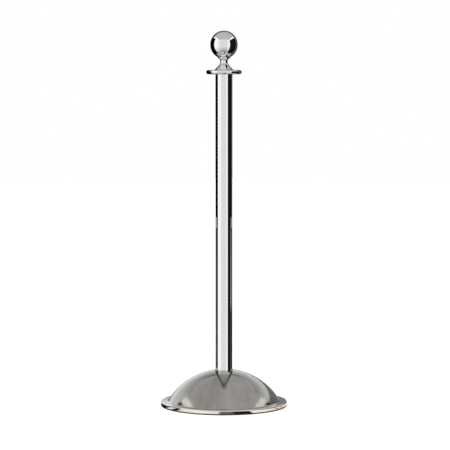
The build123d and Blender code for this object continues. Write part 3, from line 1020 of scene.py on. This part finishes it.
class STANCHION_OT_rope_collar(bpy.types.Operator):
    """Builds the rope collar with its rope hook holes, and the nylon washer above it"""

    bl_idname = "stanchion.rope_collar"
    bl_label = "Rope Collar"

    def execute(self, context):
        s = context.scene.stanchion_post
        self.disc(context, s)
        self.washer(context, s)
        return {"FINISHED"}

    def disc(self, context, s):
        """The pierced disc, with a hollow spigot below that fits the tube's mouth."""
        low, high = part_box("rope_collar")
        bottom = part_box("post_tube")[1].z
        bullnose = (high.z - bottom) / 2
        flat_edge = high.x - bullnose
        spigot = widest_radius_at("rope_collar", low.z)
        circle = flat_edge - s.rope_hole_land - s.rope_hole
        steps = 192
        bm = bmesh.new()
        outer = [circle_loop(bm, 0, 0, z, r, steps) for r, z in
                 arc((flat_edge, bottom + bullnose), bullnose, -90, 90, steps=28)]
        web = bottom + s.web_recess
        c = 0.0003  # chamfer on the spigot's end
        under = [circle_loop(bm, 0, 0, z, r, steps) for r, z in joined(
            [(s.stud_hole, web)],
            straight((s.stud_hole, web), (s.spigot_bore, web), guard=0.0005),
            straight((s.spigot_bore, web), (s.spigot_bore, low.z + c)),
            [(s.spigot_bore + c, low.z), (spigot - 2 * c, low.z)],
            straight((spigot, low.z + 2 * c), (spigot, bottom)),
        )]
        bore = circle_loop(bm, 0, 0, high.z, s.stud_hole, steps)
        for rings in (outer, under, [bore, under[0]]):
            for first, second in zip(rings, rings[1:]):
                strip_between(bm, first, second)
        tops, bottoms = [outer[-1], bore], [outer[0], under[-1]]
        for i in range(s.rope_holes):
            a = math.tau * i / s.rope_holes
            first, last = self.hook_hole(
                bm, s, circle * math.cos(a), circle * math.sin(a), bottom, high.z
            )
            bottoms.append(first)
            tops.append(last)
        cap(bm, *tops)
        cap(bm, *bottoms)
        finished(
            bm, "rope_collar_disc", turned_chrome(context), "collar",
            ["rope_collar"],
        )

    def hook_hole(self, bm, s, x, y, bottom, top):
        """The wall of one rope hook hole, with rounded edges. Gives its lowest and highest ring."""
        around = 48
        hole, k = s.rope_hole, s.rope_hole_round
        wall = arc((hole + k, bottom + k), k, 270, 180, steps=8)
        wall += straight((hole, bottom + k), (hole, top - k), pieces=3)
        wall += arc((hole + k, top - k), k, 180, 90, steps=8)
        rings = [circle_loop(bm, x, y, z, min(r, hole + k), around) for r, z in joined(wall)]
        for first, second in zip(rings, rings[1:]):
            strip_between(bm, first, second)
        return rings[0], rings[-1]

    def washer(self, context, s):
        """The nylon washer on which the collar turns under the neck."""
        low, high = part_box("collar_washer")
        finishes = context.scene.stanchion_finishes
        white = shared_finish("nylon", nylon, tuple(finishes.nylon))
        hole, edge = s.stud_hole, 0.0002
        corners = [(high.x, low.z), (high.x, high.z), (hole, high.z), (hole, low.z)]
        outline = guarded(rounded(corners, [edge] * 4, steps=3), guard=0.0001)
        turned_piece(
            "nylon_washer", outline, white, "post", ["collar_washer"], segments=96
        )


class STANCHION_OT_finial(bpy.types.Operator):
    """Builds the neck, the seat ring, the two half balls and the threaded bush"""

    bl_idname = "stanchion.finial"
    bl_label = "Neck and Ball"

    def execute(self, context):
        s = context.scene.stanchion_finial
        shiny = turned_chrome(context)
        self.neck(context, s, shiny)
        self.seat_ring(s, shiny)
        self.ball(s, chrome(context, "polished_ball", fine=2400.0))
        self.bush(context, s)
        return {"FINISHED"}

    def neck(self, context, s, shiny):
        """A cone that rises from the foot, then a curve through the waist to the lip."""
        low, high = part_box("finial_neck")
        stud_hole = context.scene.stanchion_post.stud_hole
        collar_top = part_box("rope_collar")[1].z
        washer_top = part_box("collar_washer")[1].z
        waist_z = collar_top + s.waist_height
        centre_r = s.waist + s.throat
        flare = s.flare
        cone_top = (centre_r - s.throat * math.cos(flare), waist_z - s.throat * math.sin(flare))
        foot_z = low.z + s.foot_land
        foot_r = cone_top[0] + (cone_top[1] - foot_z) * math.tan(flare)
        lip = math.degrees(math.asin((high.z - waist_z) / s.throat))
        e = s.lip_edge
        break_edge = 0.0001
        lip_room = 1.5  # degrees of the throat that the lip's round takes
        throat_start, throat_end = 180 - lip + lip_room, 180 + math.degrees(flare)
        throat = arc((centre_r, waist_z), s.throat, throat_start, throat_end, steps=60)
        lip_r = centre_r - s.throat * math.cos(math.radians(lip))
        outline = joined(
            [(stud_hole + e, high.z)],
            straight((stud_hole + e, high.z), (lip_r - 2 * e, high.z)),
            rounded([(lip_r - 2 * e, high.z), (lip_r, high.z), throat[0]], [0, e, 0], steps=6)[1:-1],
            throat,
            straight(cone_top, (foot_r, foot_z), pieces=10)[1:-1],
            rounded([cone_top, (foot_r, foot_z), (foot_r, low.z)], [0, e, 0], steps=5)[1:-1],
            [(foot_r, low.z + break_edge), (foot_r - break_edge, low.z)],
            straight((foot_r - break_edge, low.z), (s.washer_pocket, low.z)),
            straight((s.washer_pocket, low.z), (s.washer_pocket, washer_top)),
            straight((s.washer_pocket, washer_top), (stud_hole, washer_top)),
            straight((stud_hole, washer_top), (stud_hole, high.z - e)),
        )
        turned_piece("trumpet_neck", outline, shiny, "post", ["finial_neck"])

    def ball_centres(self, s):
        """Centre heights of the lower and upper half ball, the seam's height and the radius."""
        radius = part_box("ball_upper_shell")[1].x
        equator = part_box("ball_lower_shell")[1].z
        return equator - s.ball_skirt, equator + s.ball_skirt, equator, radius

    def seat_ring(self, s, shiny):
        """The dished ring under the ball."""
        low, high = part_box("ball_seat_ring")
        lower, _, _, ball = self.ball_centres(s)
        dish = ball + s.turning_gap
        recess = s.seat_bore - BUSH_PLAY + s.bush_lip + s.turning_gap
        start = -math.degrees(math.acos(s.seat_bore / dish))
        end = -math.degrees(math.acos(high.x / dish))
        curve = arc((0, lower), dish, start, end, steps=14)
        k = s.seat_round
        corners = [curve[-3], curve[-1], (high.x, low.z), (recess, low.z)]
        edge = rounded(corners, [0, k, k, 0], steps=8)
        outline = joined(
            curve[:-2],
            edge[1:-1],
            straight((high.x - k, low.z), (recess, low.z), guard=0.0002)[1:],
            [(recess, low.z + s.seat_recess)],
            [(s.seat_bore, low.z + s.seat_recess)],
        )
        turned_piece(
            "ball_seat_dished", outline, shiny, "seat", ["ball_seat_ring"]
        )

    def ball(self, s, shiny):
        """Two spun halves that meet in a fine seam at the equator."""
        lower, upper, equator, radius = self.ball_centres(s)
        inner = radius - s.ball_sheet
        opening = smallest_radius("ball_lower_shell")
        seam = s.seam
        start = -math.degrees(math.acos(opening / radius))
        start_in = -math.degrees(math.acos(opening / inner))
        outline = joined(
            arc((0, lower), radius, start, 0, steps=84),
            straight((radius, lower), (radius, equator - seam), guard=0.0001, pieces=2),
            [(radius - seam, equator)],
            straight((radius - seam, equator), (inner, equator), guard=0.0001),
            arc((0, lower), inner, 0, start_in, steps=40),
        )
        turned_piece(
            "ball_lower_half", outline, shiny, "ball", ["ball_lower_shell"]
        )
        outline = joined(
            arc((0, upper), inner, 90, 0, steps=40),
            [(inner, equator)],
            straight((inner, equator), (radius - seam, equator), guard=0.0001),
            [(radius, equator + seam)],
            straight((radius, equator + seam), (radius, upper), guard=0.0001, pieces=2),
            arc((0, upper), radius, 0, 90, steps=84),
        )
        pole = 1e-6
        outline = [(0.0 if r < pole else r, z) for r, z in outline]
        turned_piece(
            "ball_upper_half", outline, shiny, "ball", ["ball_upper_shell"]
        )

    def bush(self, context, s):
        """The bush brazed in the lower half: lip, barrel, flange and a plain blind hole."""
        low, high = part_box("ball_insert")
        fasteners = context.scene.stanchion_fasteners
        lower, _, _, ball = self.ball_centres(s)
        braze, corner, mouth, drill_point = 0.00002, 0.0001, 0.0005, 0.001
        bed = ball - s.ball_sheet - braze
        barrel = s.seat_bore - BUSH_PLAY
        lip = barrel + s.bush_lip
        flange = high.x
        lip_top = low.z + s.bush_lip_height
        first = -math.degrees(math.acos(barrel / bed))
        last = -math.degrees(math.acos(flange / bed))
        flange_top = lower - math.sqrt(bed**2 - flange**2) + s.bush_flange
        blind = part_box("finial_stud")[1].z + fasteners.pitch
        e = s.bush_edge
        tapped = fasteners.tapped
        outline = joined(
            [(tapped + mouth, low.z), (lip - corner, low.z), (lip, low.z + corner)],
            [(lip, lip_top), (barrel, lip_top)],
            arc((0, lower), bed, first, last, steps=10),
            [(flange, flange_top - e), (flange - e, flange_top), (barrel, flange_top)],
            straight((barrel, flange_top), (barrel, high.z - e), guard=0.0003),
            [(barrel - e, high.z), (0, high.z), (0, blind), (tapped, blind - drill_point)],
            straight((tapped, blind - drill_point), (tapped, low.z + mouth), guard=0.0003),
        )
        turned_piece(
            "ball_bush", outline, zinc(context), "ball", ["ball_insert"],
            segments=96,
        )


class STANCHION_OT_stage(bpy.types.Operator):
    """Sets up the pale floor, the cards, the studio walls, the overhead light and the camera"""

    bl_idname = "stanchion.stage"
    bl_label = "Studio Stage"

    def execute(self, context):
        s = context.scene.stanchion_studio
        self.floor(s)
        self.floor_cards(s)
        self.back_card(s)
        self.flags(s)
        self.walls(context, s)
        self.overhead(context, s)
        self.camera(context, s)
        context.scene.view_settings.view_transform = "Standard"
        return {"FINISHED"}

    def camera(self, context, s):
        """A long lens in front of the post, below its top, looking slightly down."""
        data = bpy.data.cameras.new("camera")
        data.lens = s.lens
        data.sensor_width = 36.0
        data.clip_end = 60.0
        camera = bpy.data.objects.new("camera", data)
        camera.location = (s.aside, -s.distance, s.height)
        camera.rotation_euler = (math.radians(90.0) - s.tilt, 0.0, 0.0)
        context.scene.collection.objects.link(camera)
        context.scene.camera = camera

    def floor(self, s):
        """A wide round sheet of pale paper."""
        bm = bmesh.new()
        rings = [circle_loop(bm, 0, 0, 0, s.floor_radius * k, 96) for k in (0.05, 0.3, 1.0)]
        bm.faces.new(rings[0])
        for first, second in zip(rings, rings[1:]):
            strip_between(bm, first, second)
        bmesh.ops.recalc_face_normals(bm, faces=bm.faces)
        mesh = bpy.data.meshes.new("floor")
        bm.to_mesh(mesh)
        bm.free()
        if mesh.polygons[0].normal.z < 0:
            mesh.flip_normals()
        mesh.materials.append(paper("floor_paper", tuple(s.floor)))
        floor = bpy.data.objects.new("floor", mesh)
        floor.visible_glossy = False
        bpy.context.scene.collection.objects.link(floor)

    def overhead(self, context, s):
        """One wide soft light from straight above, for the floor and the matt pieces."""
        data = bpy.data.lights.new("overhead", "SUN")
        data.angle = s.overhead_spread
        data.energy = s.overhead
        light = bpy.data.objects.new("overhead", data)
        light.location = (0.0, 0.0, 3.0)
        light.visible_glossy = False
        light.visible_camera = False
        context.scene.collection.objects.link(light)

    def walls(self, context, s):
        """A pale front wall, bright strips beside it, dark cards at both sides, a grey ceiling
        and a dim back wall. The camera sees plain white instead."""
        world = bpy.data.worlds.new("studio")
        context.scene.world = world
        world.use_nodes = True
        tree = world.node_tree
        f = Nodes(tree)
        way = f.node("ShaderNodeTexCoord").outputs["Generated"]
        x, y, z = f.node("ShaderNodeSeparateXYZ", Vector=way).outputs
        turn = f.sum("ARCTAN2", x, f.sum("MULTIPLY", y, -1.0))
        turn = f.sum("MULTIPLY_ADD", turn, 1 / math.tau, 0.5)
        back_left = ((-180, s.back_wall * 0.6),)
        card_left = ((-150, s.card * 3.0), (-146, s.card * 0.5), (-92, s.card * 0.5))
        strip_left = ((-89, s.strip), (-62, s.strip))
        front = (
            (-42, s.front_wall * 1.14), (-28, s.front_wall), (22, s.front_wall),
            (34, s.front_wall * 1.12),
        )
        strip_right = ((44, s.strip), (50, s.strip))
        card_right = ((54, s.card * 3.0), (90, s.card * 2.0), (119, s.card))
        back_right = (
            (124, s.back_wall * 0.75), (150, s.back_wall * 1.05), (180, s.back_wall),
        )
        stops = (
            *back_left, *card_left, *strip_left, *front, *strip_right, *card_right, *back_right,
        )
        wall = self.ring_of_light(f, turn, s.strip, stops)
        side = f.sum("MAXIMUM", f.sum("ABSOLUTE", x), f.sum("ABSOLUTE", y))
        card_top, sideways, roof_edge = (0.63, 0.68), (0.55, 0.75), (0.88, 0.94)
        never_zero = 0.0001
        height = f.sum("DIVIDE", z, f.sum("MAXIMUM", side, never_zero))
        over_card = f.mask(height, *card_top)
        beside = f.mask(f.sum("ABSOLUTE", x), *sideways)
        wall = f.range(f.sum("MULTIPLY", over_card, beside), 0.0, 1.0, wall, s.strip, smooth=False)
        roof = f.mask(height, *roof_edge)
        light = f.range(roof, 0.0, 1.0, wall, s.ceiling, smooth=False)
        below = f.range(f.sum("ARCSINE", z), math.radians(-88), math.radians(-6), 0.10, 1.0)
        light = f.sum("MULTIPLY", light, below)
        grey = f.node("ShaderNodeCombineXYZ", X=light, Y=f.sum("MULTIPLY", light, 0.995),
                      Z=f.sum("MULTIPLY", light, 0.985)).outputs[0]
        seen = f.node("ShaderNodeLightPath").outputs["Is Camera Ray"]
        colour = f.blend(seen, grey, (1.0, 1.0, 1.0))
        f.put(tree.nodes["Background"].inputs["Color"], colour)

    def ring_of_light(self, f, turn, peak, stops):
        """Light by the angle round the post, from a list of (angle in degrees, light)."""
        ramp = f.node("ShaderNodeValToRGB", Fac=turn)
        self.set_stops(ramp, [(angle, (light / peak,) * 3) for angle, light in stops])
        return f.sum("MULTIPLY", ramp.outputs["Color"], peak)

    def floor_cards(self, s):
        """A flat ring of warm, pale and dark cards for the cover's polished edge to mirror."""
        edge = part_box("base_cover")[1].x
        above_floor, clear, width = 0.0006, 0.004, 0.35
        bm = bmesh.new()
        loops = [circle_loop(bm, 0, 0, above_floor, edge + reach, 192) for reach in (clear, width)]
        strip_between(bm, *loops)
        f = Finish("floor_cards")
        turn = f.sum("ARCTAN2", f.x, f.sum("MULTIPLY", f.y, -1.0))
        ramp = f.node("ShaderNodeValToRGB", Fac=f.sum("MULTIPLY_ADD", turn, 1 / math.tau, 0.5))
        warm, pale = s.card_warm, (1.0, 0.985, 0.965)
        dim, dark = (0.14, 0.13, 0.12), (0.006, 0.006, 0.006)
        stops = (
            (-150, warm), (-106, warm), (-102, dark), (-73, dark), (-69, warm), (-62, warm),
            (-60, dark), (-53, dark), (-50, warm), (-25, pale), (-7, warm), (-3, dim), (8, dim),
            (11, dark), (28, dark), (30, pale), (48, pale), (51, warm), (62, warm), (64.5, dark),
            (67, warm), (72, warm), (74.5, dark), (77, warm), (103, warm), (107, dark), (130, dark),
            (134, warm),
        )
        self.set_stops(ramp, [(angle, tuple(colour)) for angle, colour in stops])
        self.add_card(bm, f, ramp.outputs["Color"], 1.0)

    def curved_card(self, radius, first, last, bottom, top, steps=48):
        """A curved card between two angles in degrees, counted from the front of the post."""
        bm = bmesh.new()
        loops = []
        for z in (bottom, top):
            loop = []
            for i in range(steps + 1):
                a = math.radians(first + (last - first) * i / steps)
                loop.append(bm.verts.new((radius * math.sin(a), -radius * math.cos(a), z)))
            loops.append(loop)
        for i in range(steps):
            bm.faces.new((loops[0][i], loops[0][i + 1], loops[1][i + 1], loops[1][i]))
        return bm

    def flags(self, s):
        """Two dark strips beside the tube's foot that keep its edges dark."""
        above_cover = 0.005
        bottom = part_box("base_cover")[1].z + above_cover
        for name, first, last in (("flag_left", -116, -62), ("flag_right", 66, 116)):
            bm = self.curved_card(s.flag_radius, first, last, bottom, s.back_card_top)
            self.add_card(bm, Finish(name), (1.0, 1.0, 1.0, 1.0), s.flag)

    def back_card(self, s):
        """A curved card behind the base that lights the dome's shoulders."""
        bottom, lit_from, cool_white = 0.02, 0.10, (0.94, 0.97, 1.0, 1.0)
        bm = self.curved_card(s.back_card_radius, 104, 256, bottom, s.back_card_top)
        f = Finish("back_card")
        rise = f.sum("MULTIPLY_ADD", f.x, -0.22, f.z)
        low = f.range(rise, lit_from, 0.135, 0.2, 1.0)
        high = f.range(f.z, lit_from, s.back_card_top, 1.0, 0.35, smooth=False)
        glow = f.sum("MULTIPLY", f.sum("MULTIPLY", low, high), s.back_glow)
        self.add_card(bm, f, cool_white, glow)

    def set_stops(self, ramp, stops):
        """Puts (angle in degrees, colour) stops on a ramp that runs once round the post."""
        points = ramp.color_ramp.elements
        while len(points) < len(stops):
            points.new(1.0)
        for point, (angle, colour) in zip(points, stops):
            point.position = angle / FULL_TURN + 0.5
            point.color = (*colour, 1.0)

    def add_card(self, bm, f, colour, strength):
        """Makes a glowing card that only mirror reflections show."""
        mesh = bpy.data.meshes.new(f.material.name)
        bm.to_mesh(mesh)
        bm.free()
        f.finish(
            Base_Color=(0.0, 0.0, 0.0, 1.0), Specular_IOR_Level=0.0, Emission_Color=colour,
            Emission_Strength=strength,
        )
        mesh.materials.append(f.material)
        card = bpy.data.objects.new(f.material.name, mesh)
        for ray in ("camera", "diffuse", "shadow", "transmission", "volume_scatter"):
            setattr(card, "visible_" + ray, False)
        bpy.context.scene.collection.objects.link(card)


class STANCHION_PT_build(bpy.types.Panel):
    """Lists the pieces to build and the sizes and finishes to change"""

    bl_label = "Rope Barrier Stanchion"
    bl_idname = "STANCHION_PT_build"
    bl_space_type = "VIEW_3D"
    bl_region_type = "UI"
    bl_category = "Stanchion"

    def draw(self, context):
        pieces = self.layout.column(align=True)
        for operator in OPERATORS:
            pieces.operator(operator.bl_idname)
        for name, group in GROUPS:
            box = self.layout.box()
            box.label(text=group.__doc__.rstrip("."))
            for key in group.__annotations__:
                box.prop(getattr(context.scene, name), key)


OPERATORS = (
    STANCHION_OT_base_cover,
    STANCHION_OT_base_weight,
    STANCHION_OT_fasteners,
    STANCHION_OT_post,
    STANCHION_OT_rope_collar,
    STANCHION_OT_finial,
    STANCHION_OT_stage,
)
CLASSES = (*(group for _, group in GROUPS), *OPERATORS, STANCHION_PT_build)


def register():
    """Registers the classes and gives the scene its settings."""
    for cls in CLASSES:
        bpy.utils.register_class(cls)
    for name, group in GROUPS:
        setattr(bpy.types.Scene, name, PointerProperty(type=group))


def unregister():
    """Takes the settings and the classes away again."""
    for name, _ in GROUPS:
        delattr(bpy.types.Scene, name)
    for cls in reversed(CLASSES):
        bpy.utils.unregister_class(cls)


def main():
    """Builds every piece and the stage."""
    register()
    for operator in OPERATORS:
        group, action = operator.bl_idname.split(".")
        getattr(getattr(bpy.ops, group), action)()


if __name__ == "__main__":
    main()
